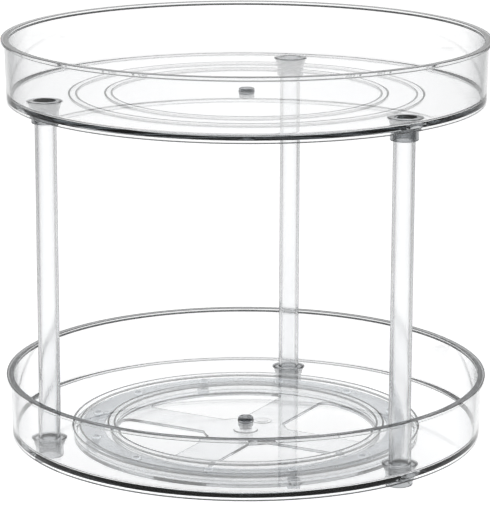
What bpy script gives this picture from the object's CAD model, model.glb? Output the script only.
"""Looks for the two-tier clear turntable: fine-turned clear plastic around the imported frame."""
import math

import bmesh
import bpy
from mathutils import Matrix, Vector
from mathutils.geometry import tessellate_polygon


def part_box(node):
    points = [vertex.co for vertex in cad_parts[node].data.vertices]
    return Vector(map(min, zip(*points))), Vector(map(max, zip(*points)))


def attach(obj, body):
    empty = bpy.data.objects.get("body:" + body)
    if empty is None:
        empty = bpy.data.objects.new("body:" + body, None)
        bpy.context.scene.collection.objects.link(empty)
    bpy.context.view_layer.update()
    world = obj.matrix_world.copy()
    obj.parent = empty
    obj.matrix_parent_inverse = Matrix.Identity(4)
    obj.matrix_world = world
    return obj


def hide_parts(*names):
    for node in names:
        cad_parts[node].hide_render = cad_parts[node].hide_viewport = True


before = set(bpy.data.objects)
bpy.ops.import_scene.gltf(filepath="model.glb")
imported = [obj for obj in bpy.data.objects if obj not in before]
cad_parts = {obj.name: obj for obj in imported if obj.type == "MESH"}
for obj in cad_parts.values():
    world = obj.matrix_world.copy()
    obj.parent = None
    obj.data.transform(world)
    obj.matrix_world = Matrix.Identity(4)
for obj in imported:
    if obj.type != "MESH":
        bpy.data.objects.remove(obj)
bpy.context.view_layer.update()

MM = 0.001

# ---------------------------------------------------------------- sizes, in millimetres
ROUND = 256            # sides of the trays' and the base's large circles
FINE = 96              # sides of the sockets, posts and other small turned shapes
TURN = 11.0            # largest turn between two points of a rounded corner, in degrees

RIM_R = (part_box("upper_tray")[1].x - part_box("upper_tray")[0].x) / 2 / MM
POST_R = (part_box("post_back")[1].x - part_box("post_back")[0].x) / 2 / MM
POST_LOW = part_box("post_back")[0].z / MM
POST_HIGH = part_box("post_back")[1].z / MM
POST_ANGLES = {"post_back": 90, "post_left": 210, "post_right": 330}
POST_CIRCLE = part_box("post_back")[1].y / MM - POST_R
POST_WALL = 1.5
SOCKET_REACH = 7.1     # half the socket's length
SOCKET_MID = -6.8      # its middle, measured from the floor's top
FLOORS = {name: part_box(name)[0].z / MM + SOCKET_REACH - SOCKET_MID for name in ("upper_tray", "lower_tray")}
FLOOR_LOW = FLOORS["lower_tray"]

FLOOR_T = 2.5
TRAY_H = 34.5
WALL_T = 2.4
WALL_LEAN = 0.8
LIP_OUT = 2.1          # how far the rim's lip stands out from the wall
WALL_TOP_R = RIM_R - LIP_OUT
CORNER_IN = 2.2
SKIRT_ROUND = 0.7
RIM_H = 2.2
RIM_ROUND = 0.8
RIM_EDGE = 0.3
RIBS = ((84.0, 88.5), (106.0, 111.0))
RIB_DROP = 2.0
RIB_ROUND = 1.0

SOCKET_LIP_R = 10.85
SOCKET_ROOT_R = 9.3
SOCKET_LOWER_R = 8.7
SOCKET_ROUND = 0.6
LIP_T = 1.5
SHOULDER_W = 0.1       # the small rise where the floor meets the socket's lip
SHOULDER_H = 0.02
FLARE_IN = 0.6
FLARE_DROP = 0.5
STOP_T = 1.6
STOP_HOLE_R = 4.5
BORE_R = POST_R + 0.05

BOSS_R = 4.85
BOSS_RISE = 1.8
BOSS_DROP = 6.2
BOSS_CUP_R = 3.6
BOSS_WEB = 2.4
PIN_R = 2.0
PIN_BORE_R = 2.05
PIN_FLANGE_R = 4.0
PIN_FLANGE_T = 1.0
PIN_NOSE = 0.6         # round at the pin's top
PIN_DIMPLE_R = 0.3     # flat left in the middle of each end

BASE_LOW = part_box("base_plate")[0].z / MM
BASE_T = 1.9
BASE_TOP = BASE_LOW + BASE_T
BASE_R = 110.5
RING_IN_R = 83.0
LEDGE = 0.9
PLATE_WALL_T = 2.2
PLATE_WALL_H = 2.2
PLATE_ROUND = 0.6      # round under the plate's outer edge
SPOKE_W = 29.0
SPOKE_ANGLE = 75
HUB_R = 27.0
HUB_ROUND = 3.0
OPENING_ROUND = 5.0
SEAT_R = 7.8
SEAT_H = 0.6
MARK_AT_R = 22.6
MARK_RING_R = 6.5
MARK_RING_T = 0.7
MARK_DISC_R = 3.7
MARK_EDGE = 0.2
MARK_H = 0.3
STEM_R = 1.5
STEM_BORE_R = 1.51
FOOT_R = 4.0
FOOT_CIRCLE = 101.0
FOOT_RECESS = 0.6
FOOT_GAP = 0.1         # room round a foot in its recess
FOOT_HOLLOW_R = 2.4    # the slightly raised middle of a foot's underside

CAGE_IN_R = 91.0
CAGE_OUT_R = 105.8
BALL_R = (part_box("ball_01")[1].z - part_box("ball_01")[0].z) / 2 / MM
RACE_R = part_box("ball_01")[1].x / MM - BALL_R
POCKET_R = BALL_R + 0.12
POCKET_EDGE = 0.2
BALL_COUNT = 12


# ---------------------------------------------------------------- outlines
def sweep(x, y, r, a0, a1, n):
    """An arc about (x, y) from angle a0 to a1 in degrees, in n equal steps, with both ends included."""
    steps = (math.radians(a0 + (a1 - a0) * i / n) for i in range(n + 1))
    return [(x + r * math.cos(a), y + r * math.sin(a)) for a in steps]


def arc(x, y, r, a0, a1):
    """An arc with as many steps as its turn needs."""
    return sweep(x, y, r, a0, a1, max(2, math.ceil(abs(a1 - a0) / TURN)))


def ring(r, count, z, centre=(0.0, 0.0)):
    """A closed circle of 3-D points, anticlockwise from above."""
    turns = (2 * math.pi * i / count for i in range(count))
    return [(centre[0] + r * math.cos(a), centre[1] + r * math.sin(a), z) for a in turns]


def at_angle(r, degrees):
    a = math.radians(degrees)
    return (r * math.cos(a), r * math.sin(a))


def wall_r(z):
    """Radius of the tray wall's outer face at height z above the floor."""
    return WALL_TOP_R - WALL_LEAN + WALL_LEAN * z / TRAY_H


# ---------------------------------------------------------------- mesh building
class Shell:
    """Collects turned surfaces and flat faces with holes, then welds them into one closed mesh."""

    def __init__(self):
        self.bm = bmesh.new()

    def loops(self, rows):
        """Joins successive closed loops of equal length with quads."""
        verts = [[self.bm.verts.new(p) for p in row] for row in rows]
        for a, b in zip(verts, verts[1:]):
            n = len(a)
            for i in range(n):
                self.bm.faces.new((a[i], a[(i + 1) % n], b[(i + 1) % n], b[i]))

    def turn(self, profile, count, centre=(0.0, 0.0)):
        """Turns a list of (radius, height) points about the upright axis through centre."""
        self.loops([ring(r, count, z, centre) for r, z in profile])

    def flat(self, outer, holes=()):
        """Fills the flat area inside the outer loop and outside the holes."""
        polygons = [[Vector(p) for p in loop] for loop in (outer, *holes)]
        points = [self.bm.verts.new(p) for loop in polygons for p in loop]
        for tri in tessellate_polygon(polygons):
            self.bm.faces.new([points[i] for i in tri])

    def finish(self, name, body, replaced, material):
        """Welds the seams, turns every face outward and makes the Blender object."""
        bm = self.bm
        bmesh.ops.remove_doubles(bm, verts=bm.verts, dist=1e-4)
        bmesh.ops.recalc_face_normals(bm, faces=bm.faces)
        bmesh.ops.scale(bm, vec=(MM, MM, MM), verts=bm.verts)
        open_edges = [e for e in bm.edges if len(e.link_faces) != 2]
        if open_edges:
            raise RuntimeError(f"{name}: {len(open_edges)} open edges near {open_edges[0].verts[0].co}")
        mesh = bpy.data.meshes.new(name)
        bm.to_mesh(mesh)
        bm.free()
        mesh.shade_smooth()
        mesh.set_sharp_from_angle(angle=math.radians(32))
        piece = bpy.data.objects.new(name, mesh)
        bpy.context.scene.collection.objects.link(piece)
        even = piece.modifiers.new("even_normals", "WEIGHTED_NORMAL")
        even.keep_sharp = True
        even.weight = 100
        mesh.materials.append(material)
        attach(piece, body)
        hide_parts(*replaced)
        return piece


# ---------------------------------------------------------------- materials
DEPTH_TINT = (0.50, 0.53, 0.55)   # what the clear plastic's depth leaves of the light
LAMP_TINT = (0.97, 0.975, 0.98)   # what it leaves of a lamp's light
ZONE_BLEND = 0.3       # width over which a zone's mask fades, in millimetres
ZONE_MARGIN = 0.1      # how far a fitting's zone runs past it
RIM_BAND = 9.0         # width of the ring that holds the wall and the skirt
RIM_TOP_BAND = 0.35    # depth of the rim's top zone
SKIRT_BAND = 0.5       # depth of the skirt's lower edge zone


def new_material(name):
    material = bpy.data.materials.new(name)
    material.use_nodes = True
    tree = material.node_tree
    tree.nodes.clear()
    out = tree.nodes.new("ShaderNodeOutputMaterial")
    shader = tree.nodes.new("ShaderNodeBsdfPrincipled")
    tree.links.new(shader.outputs["BSDF"], out.inputs["Surface"])
    return material, tree, shader, out


def add(tree, kind, **values):
    node = tree.nodes.new(kind)
    for key, value in values.items():
        if hasattr(node, key) and key not in node.inputs:
            setattr(node, key, value)
        else:
            node.inputs[key].default_value = value
    return node


def stretch(tree, source, from_low, from_high, to_low=0.0, to_high=1.0, smooth=True):
    """Maps a value's range onto another; the ends are held."""
    node = add(tree, "ShaderNodeMapRange", interpolation_type="SMOOTHSTEP" if smooth else "LINEAR")
    node.inputs["From Min"].default_value = from_low
    node.inputs["From Max"].default_value = from_high
    node.inputs["To Min"].default_value = to_low
    node.inputs["To Max"].default_value = to_high
    tree.links.new(source, node.inputs["Value"])
    return node.outputs["Result"]


def maths(tree, operation, *sources):
    node = add(tree, "ShaderNodeMath", operation=operation)
    for socket, source in zip(node.inputs, sources):
        tree.links.new(source, socket)
    return node.outputs["Value"]


def blend(tree, factor, low, high):
    """A colour between low and high; low is a colour or a socket, high a colour."""
    node = add(tree, "ShaderNodeMix", data_type="RGBA")
    tree.links.new(factor, node.inputs[0])
    colours = [socket for socket in node.inputs if socket.type == "RGBA"]
    if isinstance(low, tuple):
        colours[0].default_value = (*low, 1)
    else:
        tree.links.new(low, colours[0])
    colours[1].default_value = (*high, 1)
    return next(socket for socket in node.outputs if socket.type == "RGBA")


def tray_zones(tree, place):
    """Masks over a tray: all but the wall's inside corner, the skirt's edge, the fittings, the rim's top."""
    span = 2 * RIM_R
    low_z = SOCKET_MID - SOCKET_REACH
    high = TRAY_H - low_z
    middle = add(tree, "ShaderNodeVectorMath", operation="SUBTRACT")
    middle.inputs[1].default_value = (0.5, 0.5, 0.0)
    tree.links.new(place.outputs["Generated"], middle.inputs[0])
    split = add(tree, "ShaderNodeSeparateXYZ")
    tree.links.new(middle.outputs["Vector"], split.inputs["Vector"])
    flat = add(tree, "ShaderNodeCombineXYZ")
    tree.links.new(split.outputs["X"], flat.inputs["X"])
    tree.links.new(split.outputs["Y"], flat.inputs["Y"])

    def within(centre, radius):
        away = add(tree, "ShaderNodeVectorMath", operation="DISTANCE")
        away.inputs[1].default_value = (centre[0] / span, centre[1] / span, 0.0)
        tree.links.new(flat.outputs["Vector"], away.inputs[0])
        return stretch(tree, away.outputs["Value"], radius / span, (radius + ZONE_BLEND) / span, 1.0, 0.0)

    def below(z):
        start = z - low_z
        return stretch(tree, split.outputs["Z"], start / high, (start + ZONE_BLEND) / high, 1.0, 0.0)

    def other(mask):
        return stretch(tree, mask, 0.0, 1.0, 1.0, 0.0)

    rim_side = other(within((0.0, 0.0), WALL_TOP_R - RIM_BAND))
    skirt = maths(tree, "MULTIPLY", rim_side, below(-FLOOR_T - RIB_DROP + SKIRT_BAND))
    inside = maths(tree, "MULTIPLY", other(below(-FLOOR_T)), below(TRAY_H / 2))
    fillet = maths(tree, "MULTIPLY", rim_side, inside)
    in_top_r = wall_r(TRAY_H) - WALL_T
    top = maths(tree, "MULTIPLY", other(within((0.0, 0.0), in_top_r)), within((0.0, 0.0), RIM_R))
    rim_top = maths(tree, "MULTIPLY", top, other(below(TRAY_H - RIM_TOP_BAND)))
    fittings = within((0.0, 0.0), BOSS_R + ZONE_MARGIN)
    for angle in POST_ANGLES.values():
        socket = within(at_angle(POST_CIRCLE, angle), SOCKET_LIP_R + ZONE_MARGIN)
        fittings = maths(tree, "MAXIMUM", fittings, socket)
    return other(fillet), skirt, fittings, rim_top


def clear_plastic(name, tint, corner_tint, side_tint, side_from, absorb,
                  haze=0.0, ior=1.49, wave=0.04, is_tray=False):
    """Polished clear plastic that lamps shine through.

    Its depth takes light off. Rounded corners, and upright faces seen edge on, take the darker tints.
    """
    material, tree, shader, out = new_material(name)
    shader.inputs["Transmission Weight"].default_value = 1.0
    shader.inputs["IOR"].default_value = ior
    place = add(tree, "ShaderNodeTexCoord")
    noise = add(tree, "ShaderNodeTexNoise", Scale=20.0, Detail=2.0, Roughness=0.4)
    tree.links.new(place.outputs["Object"], noise.inputs["Vector"])
    blur = stretch(tree, noise.outputs["Fac"], 0.0, 1.0, haze * 0.5, haze * 1.5)
    tree.links.new(blur, shader.inputs["Roughness"])
    bump = add(tree, "ShaderNodeBump", Strength=wave, Distance=0.0004)
    tree.links.new(noise.outputs["Fac"], bump.inputs["Height"])
    tree.links.new(bump.outputs["Normal"], shader.inputs["Normal"])

    geometry = add(tree, "ShaderNodeNewGeometry")
    split = add(tree, "ShaderNodeSeparateXYZ")
    tree.links.new(geometry.outputs["Normal"], split.inputs["Vector"])
    tilt = maths(tree, "ABSOLUTE", split.outputs["Z"])
    rise = stretch(tree, tilt, 0.10, 0.40)
    corner = maths(tree, "MULTIPLY", rise, stretch(tree, tilt, 0.85, 0.99, 1.0, 0.0))
    if is_tray:
        keep, skirt, fittings, rim_top = tray_zones(tree, place)
        corner = maths(tree, "MAXIMUM", maths(tree, "MULTIPLY", corner, keep), skirt)
    facing = add(tree, "ShaderNodeLayerWeight", Blend=0.5)
    edge_on = stretch(tree, facing.outputs["Facing"], side_from, 1.0, smooth=False)
    side = maths(tree, "MULTIPLY", edge_on, stretch(tree, tilt, 0.10, 0.40, 1.0, 0.0))
    colour = blend(tree, corner, tint, corner_tint)
    if is_tray:
        colour = blend(tree, fittings, colour, FITTING_TINT)
        colour = blend(tree, rim_top, colour, RIM_TOP_TINT)
    tree.links.new(blend(tree, side, colour, side_tint), shader.inputs["Base Color"])

    if absorb:
        volume = add(tree, "ShaderNodeVolumeAbsorption", Density=absorb)
        volume.inputs["Color"].default_value = (*DEPTH_TINT, 1)
        tree.links.new(volume.outputs["Volume"], out.inputs["Volume"])
    path = add(tree, "ShaderNodeLightPath")
    through = add(tree, "ShaderNodeBsdfTransparent")
    through.inputs["Color"].default_value = (*LAMP_TINT, 1)
    mix = add(tree, "ShaderNodeMixShader")
    tree.links.new(path.outputs["Is Shadow Ray"], mix.inputs["Fac"])
    tree.links.new(shader.outputs["BSDF"], mix.inputs[1])
    tree.links.new(through.outputs["BSDF"], mix.inputs[2])
    tree.links.new(mix.outputs["Shader"], out.inputs["Surface"])
    return material


def solid_material(name, low_colour, high_colour, roughness, scale, metallic=0.0, bump_strength=0.1):
    """An opaque or milky finish: colour and roughness drift slowly between two close values."""
    material, tree, shader, out = new_material(name)
    shader.inputs["Metallic"].default_value = metallic
    place = add(tree, "ShaderNodeTexCoord")
    noise = add(tree, "ShaderNodeTexNoise", Scale=scale, Detail=4.0)
    tree.links.new(place.outputs["Object"], noise.inputs["Vector"])
    ramp = add(tree, "ShaderNodeValToRGB")
    ramp.color_ramp.elements[0].position = 0.3
    ramp.color_ramp.elements[0].color = (*low_colour, 1)
    ramp.color_ramp.elements[1].position = 0.7
    ramp.color_ramp.elements[1].color = (*high_colour, 1)
    tree.links.new(noise.outputs["Fac"], ramp.inputs["Fac"])
    tree.links.new(ramp.outputs["Color"], shader.inputs["Base Color"])
    level = add(tree, "ShaderNodeMapRange")
    level.inputs["To Min"].default_value = roughness * 0.8
    level.inputs["To Max"].default_value = roughness * 1.2
    tree.links.new(noise.outputs["Fac"], level.inputs["Value"])
    tree.links.new(level.outputs["Result"], shader.inputs["Roughness"])
    bump = add(tree, "ShaderNodeBump", Strength=bump_strength, Distance=0.0002)
    tree.links.new(noise.outputs["Fac"], bump.inputs["Height"])
    tree.links.new(bump.outputs["Normal"], shader.inputs["Normal"])
    return material


FITTING_TINT = (0.50, 0.51, 0.52)
RIM_TOP_TINT = (0.14, 0.145, 0.15)
CLEAR_TRAY = clear_plastic(
    "clear_tray", tint=(0.995, 0.996, 0.998), corner_tint=(0.24, 0.245, 0.25),
    side_tint=(0.38, 0.39, 0.40), side_from=0.6, absorb=14.0, is_tray=True)
CLEAR_TUBE = clear_plastic(
    "clear_tube", tint=(0.99, 0.992, 0.995), corner_tint=(0.30, 0.31, 0.32),
    side_tint=(0.05, 0.055, 0.06), side_from=0.28, absorb=30.0, haze=0.16, wave=0.0)
CLEAR_BASE = clear_plastic(
    "clear_base", tint=(0.98, 0.985, 0.99), corner_tint=(0.25, 0.26, 0.27),
    side_tint=(0.5, 0.52, 0.54), side_from=0.4, absorb=22.0)
CAGE_PLASTIC = clear_plastic(
    "cage_plastic", tint=(0.92, 0.945, 0.97), corner_tint=(0.6, 0.63, 0.66),
    side_tint=(0.6, 0.63, 0.66), side_from=0.5, absorb=0.0, haze=0.25, ior=1.30)
BALL_PLASTIC = clear_plastic(
    "ball_plastic", tint=(0.95, 0.965, 0.98), corner_tint=(0.85, 0.87, 0.9),
    side_tint=(0.8, 0.83, 0.86), side_from=0.5, absorb=0.0, haze=0.15, ior=1.40)
PIN_METAL = solid_material(
    "pin_metal", (0.70, 0.71, 0.73), (0.80, 0.81, 0.83), roughness=0.22, scale=400.0, metallic=1.0)
FOOT_RUBBER = solid_material(
    "foot_rubber", (0.74, 0.76, 0.78), (0.82, 0.84, 0.86), roughness=0.55, scale=500.0)


# ---------------------------------------------------------------- trays
def wall_profile():
    """The tray wall from the floor's top, up the inside, over the lip, down to the skirt and under it."""
    in_r = wall_r(CORNER_IN) - WALL_T
    in_top_r = wall_r(TRAY_H) - WALL_T
    lip_z = TRAY_H - RIM_H
    skirt_z = -FLOOR_T - RIB_DROP
    skirt_r = wall_r(skirt_z)
    foot = 0.3
    return (
        arc(in_r - CORNER_IN, CORNER_IN, CORNER_IN, -90, 0)
        + arc(in_top_r + RIM_EDGE, TRAY_H - RIM_EDGE, RIM_EDGE, 180, 90)
        + arc(RIM_R - RIM_EDGE, TRAY_H - RIM_EDGE, RIM_EDGE, 90, 0)
        + arc(RIM_R - RIM_ROUND, lip_z + RIM_ROUND, RIM_ROUND, 0, -90)
        + arc(wall_r(lip_z) + RIM_ROUND, lip_z - RIM_ROUND, RIM_ROUND, 90, 180)
        + arc(skirt_r - SKIRT_ROUND, skirt_z + SKIRT_ROUND, SKIRT_ROUND, 0, -90)
        + arc(skirt_r - WALL_T + SKIRT_ROUND, skirt_z + SKIRT_ROUND, SKIRT_ROUND, -90, -180)
        + arc(skirt_r - WALL_T - foot, -FLOOR_T - foot, foot, 0, 90)
    )


def rib_profile(rib):
    """One rounded rib under the floor, from its outer foot to its inner foot."""
    z = -FLOOR_T - RIB_DROP
    foot = 0.4
    return (
        arc(rib[1] + foot, -FLOOR_T - foot, foot, 90, 180)
        + arc(rib[1] - RIB_ROUND, z + RIB_ROUND, RIB_ROUND, 0, -90)
        + arc(rib[0] + RIB_ROUND, z + RIB_ROUND, RIB_ROUND, -90, -180)
        + arc(rib[0] - foot, -FLOOR_T - foot, foot, 0, 90)
    )


def socket_profile():
    """A post socket from the floor's top, over the lip, down both bores and up to the underside."""
    foot = 0.4
    edge = 0.35
    half_stop = STOP_T / 2
    lip = SOCKET_LIP_R - SOCKET_ROUND
    taper_top = SOCKET_REACH - LIP_T - FLARE_DROP
    under = -FLOOR_T - SOCKET_MID
    under_r = SOCKET_ROOT_R + (SOCKET_LIP_R - FLARE_IN - SOCKET_ROOT_R) * under / taper_top
    outline = (
        arc(lip, SOCKET_REACH - SOCKET_ROUND, SOCKET_ROUND, 34, 90)
        + arc(BORE_R + edge, SOCKET_REACH - edge, edge, 90, 180)
        + arc(BORE_R - edge, half_stop + edge, edge, 0, -90)
        + arc(STOP_HOLE_R + edge, half_stop - edge, edge, 90, 180)
        + arc(STOP_HOLE_R + edge, edge - half_stop, edge, 180, 270)
        + arc(BORE_R - edge, -half_stop - edge, edge, 90, 0)
        + arc(BORE_R + edge, edge - SOCKET_REACH, edge, 180, 270)
        + arc(SOCKET_LOWER_R - SOCKET_ROUND, SOCKET_ROUND - SOCKET_REACH, SOCKET_ROUND, -90, 0)
        + [(SOCKET_LOWER_R, -edge / 2)]
        + arc(SOCKET_ROOT_R - edge / 2, edge / 2, edge / 2, -60, 0)
        + arc(under_r + foot, under - foot, foot, 180, 90)
    )
    shoulder = [(SOCKET_LIP_R + SHOULDER_W, 0.0), (SOCKET_LIP_R, SHOULDER_H)]
    return shoulder + [(r, z + SOCKET_MID) for r, z in outline]


def boss_profile():
    """The centre boss: an open cup at the floor over a web bored for the pivot pin."""
    foot = 0.35
    edge = 0.3
    web_top = BOSS_WEB - BOSS_DROP
    return (
        arc(BOSS_R + foot, foot, foot, -90, -180)
        + arc(BOSS_R - edge, BOSS_RISE - edge, edge, 0, 90)
        + arc(BOSS_CUP_R + edge, BOSS_RISE - edge, edge, 90, 180)
        + arc(BOSS_CUP_R - edge, web_top + edge, edge, 0, -90)
        + [(PIN_BORE_R, web_top), (PIN_BORE_R, -BOSS_DROP)]
        + arc(BOSS_R - edge, edge - BOSS_DROP, edge, -90, 0)
        + arc(BOSS_R + foot, -FLOOR_T - foot, foot, 180, 90)
    )


def make_tray(name, floor_z):
    shell = Shell()

    def lifted(profile):
        return [(r, z + floor_z) for r, z in profile]

    wall = lifted(wall_profile())
    socket = lifted(socket_profile())
    boss = lifted(boss_profile())
    ribs = [lifted(rib_profile(rib)) for rib in RIBS]
    shell.turn(wall, ROUND)
    for rib in ribs:
        shell.turn(rib, ROUND)
    shell.turn(boss, FINE)
    centres = [at_angle(POST_CIRCLE, a) for a in POST_ANGLES.values()]
    for centre in centres:
        shell.turn(socket, FINE, centre)

    def hole(point, centre):
        return ring(point[0], FINE, point[1], centre)

    shell.flat(ring(wall[0][0], ROUND, wall[0][1]),
               [hole(boss[0], (0, 0))] + [hole(socket[0], c) for c in centres])
    shell.flat(ring(wall[-1][0], ROUND, wall[-1][1]),
               [ring(ribs[1][0][0], ROUND, ribs[1][0][1])] + [hole(socket[-1], c) for c in centres])
    shell.turn([ribs[1][-1], ribs[0][0]], ROUND)
    shell.flat(ring(ribs[0][-1][0], ROUND, ribs[0][-1][1]), [hole(boss[-1], (0, 0))])
    return shell.finish(name + "_shell", "turntable", [name], CLEAR_TRAY)


for tray_name, tray_floor in FLOORS.items():
    make_tray(tray_name, tray_floor)


# ---------------------------------------------------------------- posts
def make_post(name, angle):
    """A plain tube with its cut ends just broken."""
    edge = 0.25
    inner = POST_R - POST_WALL
    shell = Shell()
    profile = (
        arc(inner + edge, POST_LOW + edge, edge, 180, 270)
        + arc(POST_R - edge, POST_LOW + edge, edge, -90, 0)
        + arc(POST_R - edge, POST_HIGH - edge, edge, 0, 90)
        + arc(inner + edge, POST_HIGH - edge, edge, 90, 180)
    )
    shell.turn(profile + profile[:1], FINE, at_angle(POST_CIRCLE, angle))
    return shell.finish(name + "_tube", "turntable", [name], CLEAR_TUBE)


for post_name, post_angle in POST_ANGLES.items():
    make_post(post_name, post_angle)


# ---------------------------------------------------------------- base plate
def opening_outline(grow, z, quarter):
    """One opening between two spokes, grown outwards by grow, as a loop of 3-D points."""
    edge = SPOKE_W / 2 - grow
    hub_r, ring_r = HUB_R - grow, RING_IN_R + grow
    hub_round, rim_round = HUB_ROUND + grow, OPENING_ROUND + grow
    hub_x = edge + hub_round
    hub_y = math.sqrt((hub_r + hub_round) ** 2 - hub_x ** 2)
    rim_x = edge + rim_round
    rim_y = math.sqrt((ring_r - rim_round) ** 2 - rim_x ** 2)
    hub_a = math.degrees(math.atan2(hub_y, hub_x))
    rim_a = math.degrees(math.atan2(rim_y, rim_x))

    points = (
        sweep(hub_y, hub_x, hub_round, 270 - hub_a, 270, 6)[:-1]
        + sweep(rim_y, rim_x, rim_round, -90, 90 - rim_a, 8)[:-1]
        + sweep(0, 0, ring_r, 90 - rim_a, rim_a, 40)[:-1]
        + sweep(rim_x, rim_y, rim_round, rim_a, 180, 8)[:-1]
        + sweep(hub_x, hub_y, hub_round, 180, 180 + hub_a, 6)[:-1]
        + sweep(0, 0, hub_r, hub_a, 90 - hub_a, 8)[:-1]
    )
    spin = Matrix.Rotation(math.radians(SPOKE_ANGLE + 90 * quarter), 3, "Z")
    return [tuple(spin @ Vector((x, y, z))) for x, y in points]


def make_base():
    shell = Shell()
    edge = 0.3
    wall_top = BASE_TOP + PLATE_WALL_H
    inner_wall_in = RING_IN_R + LEDGE
    inner_wall_out = inner_wall_in + PLATE_WALL_T
    outer_wall_in = BASE_R - PLATE_WALL_T
    foot = 0.4

    # the two low walls and the channel between them, then the outside and round to the underside
    walls = (
        arc(inner_wall_in - foot, BASE_TOP + foot, foot, -90, 0)
        + arc(inner_wall_in + edge, wall_top - edge, edge, 180, 90)
        + arc(inner_wall_out - edge, wall_top - edge, edge, 90, 0)
        + arc(inner_wall_out + foot, BASE_TOP + foot, foot, 180, 270)
        + arc(outer_wall_in - foot, BASE_TOP + foot, foot, -90, 0)
        + arc(outer_wall_in + edge, wall_top - edge, edge, 180, 90)
        + arc(BASE_R - edge, wall_top - edge, edge, 90, 0)
        + arc(BASE_R - PLATE_ROUND, BASE_LOW + PLATE_ROUND, PLATE_ROUND, 0, -90)
    )
    shell.turn(walls, ROUND)

    openings_top = []
    openings_low = []
    rounds = [math.radians(a) for a in (0, 30, 60, 90)]
    for quarter in range(4):
        top_rows = [(edge * (1 - math.sin(a)), BASE_TOP - edge * (1 - math.cos(a))) for a in rounds]
        low_rows = [(edge * (1 - math.cos(a)), BASE_LOW + edge * (1 - math.sin(a))) for a in rounds]
        rows = [opening_outline(grow, z, quarter) for grow, z in top_rows + low_rows]
        shell.loops(rows)
        openings_top.append(rows[0])
        openings_low.append(rows[-1])

    # the hub's seat and the round mould mark beside it
    seat_z = BASE_TOP + SEAT_H
    seat = (
        arc(SEAT_R + foot / 2, BASE_TOP + foot / 2, foot / 2, -90, -180)
        + arc(SEAT_R - edge, seat_z - edge, edge, 0, 90)
        + [(STEM_BORE_R, seat_z), (STEM_BORE_R, BASE_LOW)]
    )
    shell.turn(seat, FINE)
    mark_at = at_angle(MARK_AT_R, SPOKE_ANGLE)
    mark_z = BASE_TOP + MARK_H
    mark_in_r = MARK_RING_R - MARK_RING_T

    def mark_corner(r):
        return [(r, BASE_TOP)] + arc(r - MARK_EDGE, mark_z - MARK_EDGE, MARK_EDGE, 0, 90)

    mark_ring = mark_corner(MARK_RING_R) + [(mark_in_r, mark_z), (mark_in_r, BASE_TOP)]
    mark_disc = mark_corner(MARK_DISC_R)
    shell.turn(mark_ring, FINE, mark_at)
    shell.turn(mark_disc, FINE, mark_at)
    shell.flat(ring(mark_disc[-1][0], FINE, mark_z, mark_at))
    shell.flat(ring(mark_in_r, FINE, BASE_TOP, mark_at), [ring(MARK_DISC_R, FINE, BASE_TOP, mark_at)])

    islands = [ring(seat[0][0], FINE, BASE_TOP), ring(MARK_RING_R, FINE, BASE_TOP, mark_at)]
    shell.flat(ring(walls[0][0], ROUND, BASE_TOP), openings_top + islands)

    # recesses for the feet
    recess_r = FOOT_R + FOOT_GAP
    recesses = []
    for quarter in range(4):
        centre = at_angle(FOOT_CIRCLE, SPOKE_ANGLE + 45 + 90 * quarter)
        shell.turn([(recess_r, BASE_LOW), (recess_r, BASE_LOW + FOOT_RECESS)], FINE, centre)
        shell.flat(ring(recess_r, FINE, BASE_LOW + FOOT_RECESS, centre))
        recesses.append(ring(recess_r, FINE, BASE_LOW, centre))
    stem_bore = ring(STEM_BORE_R, FINE, BASE_LOW)
    shell.flat(ring(walls[-1][0], ROUND, BASE_LOW), openings_low + recesses + [stem_bore])
    return shell.finish("base_plate_shell", "base", ["base_plate"], CLEAR_BASE)


make_base()


# ---------------------------------------------------------------- bearing, pin and feet
def make_cage():
    low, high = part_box("ball_cage")
    z0, z1 = low.z / MM, high.z / MM
    edge = 0.35
    shell = Shell()
    outer = (
        arc(CAGE_OUT_R - edge, z0 + edge, edge, -90, 0)
        + arc(CAGE_OUT_R - edge, z1 - edge, edge, 0, 90)
    )
    inner = (
        arc(CAGE_IN_R + edge, z1 - edge, edge, 90, 180)
        + arc(CAGE_IN_R + edge, z0 + edge, edge, 180, 270)
    )
    shell.turn(outer, ROUND)
    shell.turn(inner, ROUND)
    pockets = (
        arc(POCKET_R + POCKET_EDGE, z0 + POCKET_EDGE, POCKET_EDGE, -90, -180)
        + arc(POCKET_R + POCKET_EDGE, z1 - POCKET_EDGE, POCKET_EDGE, 180, 90)
    )
    low_holes, high_holes = [], []
    for i in range(BALL_COUNT):
        centre = at_angle(RACE_R, 360 * i / BALL_COUNT)
        shell.turn(pockets, FINE // 2, centre)
        low_holes.append(ring(pockets[0][0], FINE // 2, z0, centre))
        high_holes.append(ring(pockets[-1][0], FINE // 2, z1, centre))
    shell.flat(ring(outer[0][0], ROUND, z0), [ring(inner[-1][0], ROUND, z0)] + low_holes)
    shell.flat(ring(outer[-1][0], ROUND, z1), [ring(inner[0][0], ROUND, z1)] + high_holes)
    return shell.finish("ball_cage_ring", "bearing", ["ball_cage"], CAGE_PLASTIC)


def make_ball(i):
    """A ball as a cube pushed out to a sphere, so that no facets bunch up at a pole."""
    name = f"ball_{i:02d}"
    low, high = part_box(name)
    centre = (low + high) / 2
    bm = bmesh.new()
    bmesh.ops.create_icosphere(bm, subdivisions=5, radius=BALL_R * MM)
    bmesh.ops.translate(bm, vec=centre, verts=bm.verts)
    mesh = bpy.data.meshes.new(name + "_sphere")
    bm.to_mesh(mesh)
    bm.free()
    mesh.shade_smooth()
    mesh.materials.append(BALL_PLASTIC)
    piece = bpy.data.objects.new(name + "_sphere", mesh)
    bpy.context.scene.collection.objects.link(piece)
    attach(piece, "bearing")
    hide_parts(name)
    return piece


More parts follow.
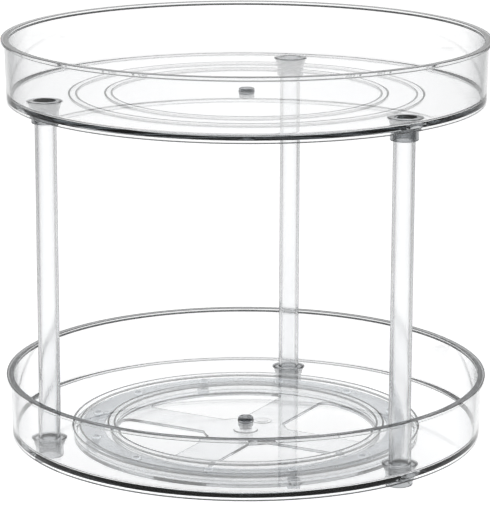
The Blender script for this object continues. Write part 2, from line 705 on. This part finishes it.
def make_pin():
    low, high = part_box("pivot_pin")
    z0, z1 = low.z / MM, high.z / MM
    seat_z = BASE_TOP + SEAT_H
    flange_top = seat_z + PIN_FLANGE_T
    edge = 0.2
    shell = Shell()
    profile = (
        [(PIN_DIMPLE_R, z0), (STEM_R - edge, z0), (STEM_R, z0 + edge), (STEM_R, seat_z)]
        + arc(PIN_FLANGE_R - edge, seat_z + edge, edge, -90, 0)
        + arc(PIN_FLANGE_R - edge, flange_top - edge, edge, 0, 90)
        + arc(PIN_R + edge, flange_top + edge, edge, -90, -180)
        + arc(PIN_R - PIN_NOSE, z1 - PIN_NOSE, PIN_NOSE, 0, 90)
        + [(PIN_DIMPLE_R, z1)]
    )
    shell.turn(profile, FINE)
    shell.flat(ring(PIN_DIMPLE_R, FINE, z0))
    shell.flat(ring(PIN_DIMPLE_R, FINE, z1))
    return shell.finish("pivot_pin_turned", "base", ["pivot_pin"], PIN_METAL)


def make_foot(i):
    name = f"foot_{i}"
    low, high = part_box(name)
    centre = ((low.x + high.x) / 2 / MM, (low.y + high.y) / 2 / MM)
    z0, z1 = low.z / MM, high.z / MM
    edge = 0.3
    hollow = 0.15
    bevel = 0.1
    shell = Shell()
    profile = (
        arc(FOOT_HOLLOW_R, z0 + hollow, hollow, 180, 270)
        + arc(FOOT_R - edge, z0 + edge, edge, -90, 0)
        + [(FOOT_R, z1 - bevel), (FOOT_R - bevel, z1)]
    )
    shell.turn(profile, FINE, centre)
    shell.flat(ring(profile[0][0], FINE, profile[0][1], centre))
    shell.flat(ring(profile[-1][0], FINE, profile[-1][1], centre))
    return shell.finish(name + "_pad", "base", [name], FOOT_RUBBER)


make_cage()
for number in range(1, BALL_COUNT + 1):
    make_ball(number)
make_pin()
for number in range(1, 5):
    make_foot(number)


# ---------------------------------------------------------------- floor, light and camera
PHOTO_SIDE = 13.19     # the camera's turn from the front, in degrees
CAMERA_AWAY = 10.75    # its distance from the turning axis, in rim radii
CAMERA_RISE = 3.104    # its height above the lower rim, in rim radii
CAMERA_DOWN = 0.2379   # its downward tilt, in radians
CAMERA_LEFT = 0.00045  # its turn left off the turning axis, in radians
CAMERA_ROLL = 0.0027   # in radians
FADE_START = 1.64      # the floor's fade widens with depth, from this far off the axis, in metres
FLOOR_R = 9.0          # in metres
FLOOR_SINK = 0.0002    # the floor's gap under the feet, in metres


def grey_ramp(tree, source, stops, interpolation="LINEAR"):
    """A colour ramp through (position, grey) stops."""
    ramp = add(tree, "ShaderNodeValToRGB")
    ramp.color_ramp.interpolation = interpolation
    for position, value in stops[1:-1]:
        ramp.color_ramp.elements.new(position)
    for element, (position, value) in zip(ramp.color_ramp.elements, stops):
        element.position = position
        element.color = (value, value, value, 1)
    tree.links.new(source, ramp.inputs["Fac"])
    return ramp.outputs["Color"]


def off_axis(tree, source):
    """How far a place is to either side of the photo's line of sight, against its depth along that line."""
    side = math.radians(PHOTO_SIDE)
    reach = []
    for axis in ((math.cos(side), math.sin(side), 0.0), (-math.sin(side), math.cos(side), 0.0)):
        dot = add(tree, "ShaderNodeVectorMath", operation="DOT_PRODUCT")
        dot.inputs[1].default_value = axis
        tree.links.new(source, dot.inputs[0])
        reach.append(maths(tree, "ABSOLUTE", dot.outputs["Value"]))
    depth = add(tree, "ShaderNodeMath", operation="ADD")
    depth.inputs[1].default_value = FADE_START
    tree.links.new(reach[1], depth.inputs[0])
    return maths(tree, "DIVIDE", reach[0], depth.outputs["Value"])


def make_floor():
    """A plain white sweep, bright by itself behind the object and fading to the sides."""
    bm = bmesh.new()
    bmesh.ops.create_circle(bm, cap_ends=True, segments=96, radius=FLOOR_R)
    mesh = bpy.data.meshes.new("floor")
    bm.to_mesh(mesh)
    bm.free()
    floor = bpy.data.objects.new("floor", mesh)
    floor.location.z = -FLOOR_SINK
    bpy.context.scene.collection.objects.link(floor)
    material, tree, shader, out = new_material("floor_white")
    shader.inputs["Base Color"].default_value = (0.8, 0.8, 0.8, 1)
    shader.inputs["Roughness"].default_value = 0.9
    shader.inputs["Specular IOR Level"].default_value = 0.0
    shader.inputs["Emission Color"].default_value = (1, 1, 1, 1)
    place = add(tree, "ShaderNodeTexCoord")
    reach = add(tree, "ShaderNodeVectorMath", operation="LENGTH")
    tree.links.new(place.outputs["Object"], reach.inputs[0])
    glow = stretch(tree, reach.outputs["Value"], 0.08, 0.17, 0.80, 0.95)
    fade = grey_ramp(
        tree, off_axis(tree, place.outputs["Object"]),
        ((0.0, 1.0), (0.095, 1.0), (0.16, 0.90), (0.28, 0.70), (0.62, 0.50), (1.0, 0.45)))
    tree.links.new(maths(tree, "MULTIPLY", glow, fade), shader.inputs["Emission Strength"])
    mesh.materials.append(material)


def make_world():
    """Soft studio surround: a white sweep up to a low height, and dark above it."""
    world = bpy.data.worlds.new("studio")
    bpy.context.scene.world = world
    world.use_nodes = True
    tree = world.node_tree
    tree.nodes.clear()
    place = add(tree, "ShaderNodeTexCoord")
    split = add(tree, "ShaderNodeSeparateXYZ")
    half = add(tree, "ShaderNodeMath", operation="MULTIPLY_ADD")
    half.inputs[1].default_value = 0.5
    half.inputs[2].default_value = 0.5
    background = add(tree, "ShaderNodeBackground")
    out = add(tree, "ShaderNodeOutputWorld")
    tree.links.new(place.outputs["Generated"], split.inputs["Vector"])
    tree.links.new(split.outputs["Z"], half.inputs[0])
    stops = ((0.0, 1.0), (0.50, 1.0), (0.64, 1.0), (0.69, 0.04), (0.80, 0.02), (1.0, 0.02))
    sky = grey_ramp(tree, half.outputs["Value"], stops, "EASE")
    tree.links.new(sky, background.inputs["Color"])
    tree.links.new(background.outputs["Background"], out.inputs["Surface"])


def make_camera():
    """Eye level with a standing viewer's downward look, turned a little to the right of the front."""
    camera_data = bpy.data.cameras.new("camera")
    camera_data.lens = 189.8
    camera_data.sensor_width = 36.0
    camera_data.clip_end = 100.0
    camera = bpy.data.objects.new("camera", camera_data)
    bpy.context.scene.collection.objects.link(camera)
    side = math.radians(PHOTO_SIDE)
    radius = RIM_R * MM
    distance = CAMERA_AWAY * radius
    rim_z = (FLOOR_LOW + TRAY_H) * MM
    camera.location = (distance * math.sin(side), -distance * math.cos(side), rim_z + CAMERA_RISE * radius)
    camera.rotation_euler = (math.pi / 2 - CAMERA_DOWN, 0.0, side + CAMERA_LEFT)
    camera.rotation_euler.rotate_axis("Z", CAMERA_ROLL)
    bpy.context.scene.camera = camera


make_floor()
make_world()
make_camera()

scene = bpy.context.scene
scene.view_settings.view_transform = "Standard"
scene.view_settings.look = "None"
scene.view_settings.exposure = 0.06
scene.view_settings.gamma = 0.8
scene.cycles.max_bounces = 40
scene.cycles.transmission_bounces = 36
scene.cycles.glossy_bounces = 12
scene.cycles.transparent_max_bounces = 32
scene.cycles.use_denoising = True
scene.cycles.caustics_reflective = True
scene.cycles.caustics_refractive = True
